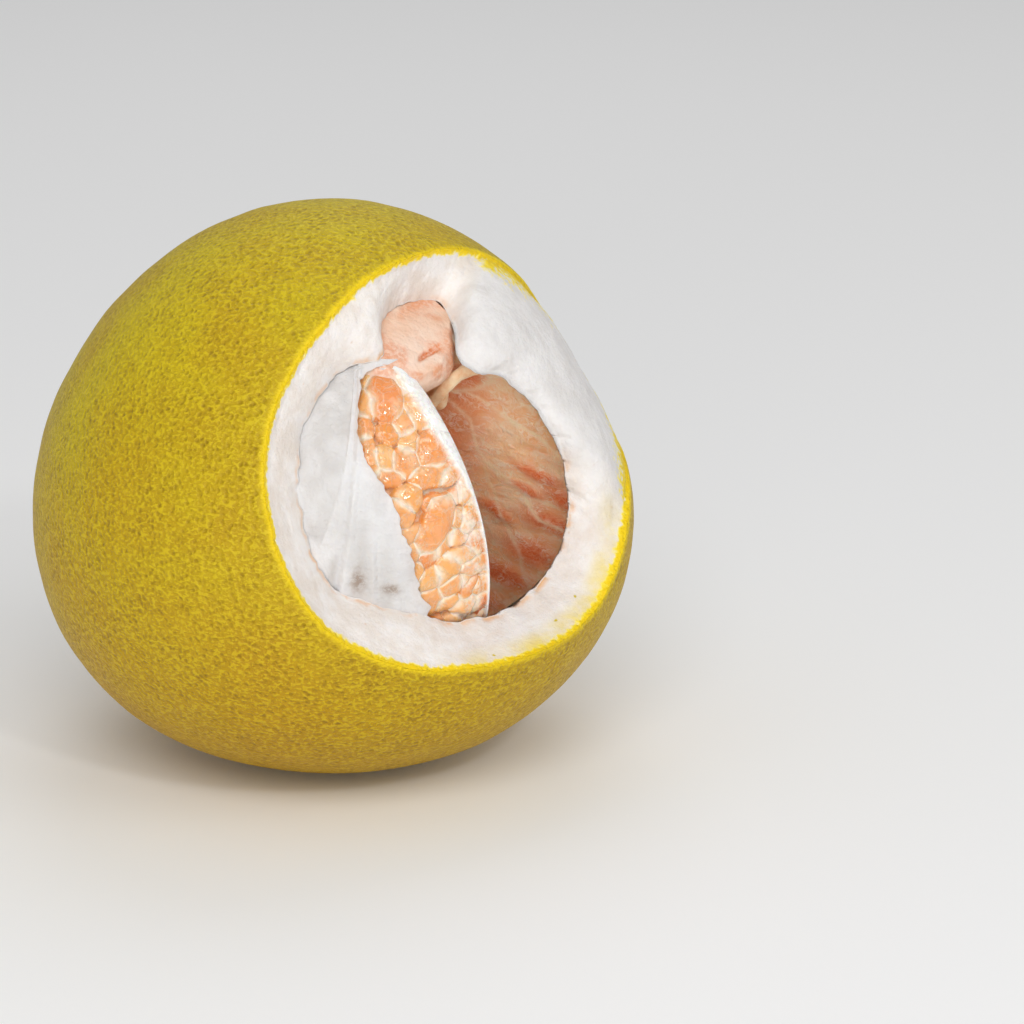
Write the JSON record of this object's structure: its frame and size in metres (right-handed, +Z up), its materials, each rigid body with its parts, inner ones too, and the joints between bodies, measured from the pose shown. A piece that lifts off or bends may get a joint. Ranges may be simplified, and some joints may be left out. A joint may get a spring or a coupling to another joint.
{
  "type": "opened pomelo",
  "caption": "Large round citrus fruit at rest, its thick rind peeled open in front so that the pale pith, the fleshy segments and a wedge-shaped gap between them show.",
  "frame": {"origin": "middle of the small flat spot that the fruit rests on", "axes": "+Z up from the rest spot, -Y towards the viewer that the opened window mostly faces, +X to that viewer's right"},
  "size_m": [0.1524, 0.1524, 0.141],
  "materials": {
    "zest": "satin",
    "pith": "matte",
    "flesh": "satin",
    "membrane": "satin",
    "segment_skin": "satin"
  },
  "bodies": {
    "root": {"rind": "zest", "core": "pith", "segment_open": "flesh", "segment_tip": "membrane", "segment_1": "segment_skin", "segment_2": "segment_skin", "segment_3": "segment_skin", "segment_4": "segment_skin", "segment_5": "segment_skin", "segment_6": "segment_skin", "segment_7": "segment_skin", "segment_8": "segment_skin", "segment_9": "segment_skin"}
  },
  "joints": []
}
